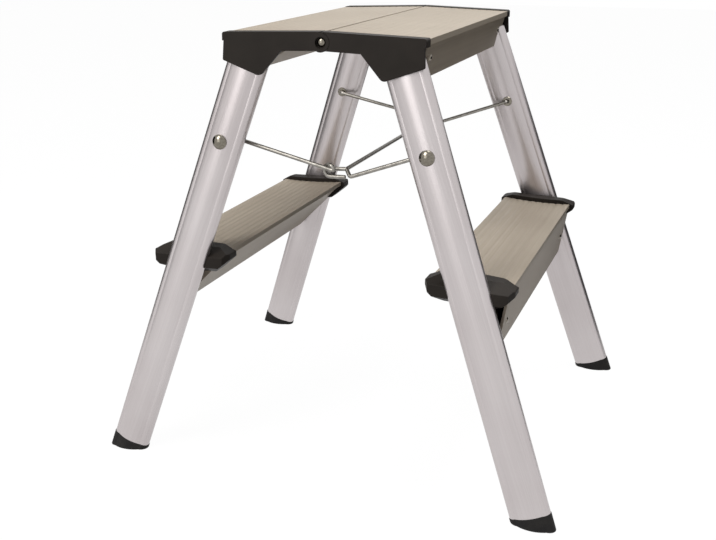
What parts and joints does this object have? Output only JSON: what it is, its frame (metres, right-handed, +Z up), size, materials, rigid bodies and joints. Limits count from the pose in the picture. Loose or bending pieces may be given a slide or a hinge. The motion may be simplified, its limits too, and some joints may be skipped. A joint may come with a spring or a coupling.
{
  "type": "folding step stool",
  "caption": "Folding double sided step stool: a platform in two hinged halves, a ribbed tread low on each side, splayed oval legs with rubber feet, and a jointed wire spreader.",
  "frame": {"origin": "on the floor, centred under the hinge line of the platform", "axes": "+X is the spread of the two frames, from the left frame to the right one; +Y runs along the treads and the hinge, from front to back; +Z is up"},
  "size_m": [0.493, 0.4066, 0.4508],
  "materials": {
    "leg_metal": "satin anodised oval tube",
    "plate_metal": "satin extrusion in a warm champagne tone",
    "cap_plastic": "matte moulded, near black",
    "foot_rubber": "matte black",
    "rivet_steel": "bright nickel plated",
    "wire_steel": "zinc plated wire"
  },
  "bodies": {
    "left_frame": {"left_leg_front": "leg_metal", "left_leg_back": "leg_metal", "left_foot_front": "foot_rubber", "left_foot_back": "foot_rubber", "left_top_cap_front": "cap_plastic", "left_top_cap_back": "cap_plastic", "left_tread_cap_front": "cap_plastic", "left_tread_cap_back": "cap_plastic", "left_stay_rivet_front": "rivet_steel", "left_stay_rivet_back": "rivet_steel", "left_top_plate": "plate_metal", "left_tread": "plate_metal", "left_top_rivets": "rivet_steel", "left_tread_rivets": "rivet_steel", "hinge_rivet_front": "rivet_steel", "hinge_rivet_back": "rivet_steel"},
    "right_frame": {"right_leg_front": "leg_metal", "right_leg_back": "leg_metal", "right_foot_front": "foot_rubber", "right_foot_back": "foot_rubber", "right_top_cap_front": "cap_plastic", "right_top_cap_back": "cap_plastic", "right_tread_cap_front": "cap_plastic", "right_tread_cap_back": "cap_plastic", "right_stay_rivet_front": "rivet_steel", "right_stay_rivet_back": "rivet_steel", "right_top_plate": "plate_metal", "right_tread": "plate_metal", "right_top_rivets": "rivet_steel", "right_tread_rivets": "rivet_steel"},
    "stay_arms": {"stay_arm_front": "wire_steel", "stay_arm_back": "wire_steel"},
    "stay_bow": {"stay_bow": "wire_steel"}
  },
  "joints": [
    {"name": "fold", "type": "hinge", "parent": "left_frame", "child": "right_frame", "pos_m": [0, 0, 0.441], "axis": [0, 1, 0], "range_deg": [0, 46]},
    {"name": "stay_turn", "type": "hinge", "parent": "left_frame", "child": "stay_arms", "pos_m": [-0.10519, 0, 0.34345], "axis": [0, 1, 0], "range_deg": [0, 66.6]},
    {"name": "knee_turn", "type": "hinge", "parent": "stay_arms", "child": "stay_bow", "pos_m": [0, 0, 0.318], "axis": [0, -1, 0], "range_deg": [0, 87.2]}
  ],
  "couplings": [
    {"joint": "stay_turn", "follows": "fold", "ratio": 1.4467},
    {"joint": "knee_turn", "follows": "fold", "ratio": 1.8933}
  ]
}
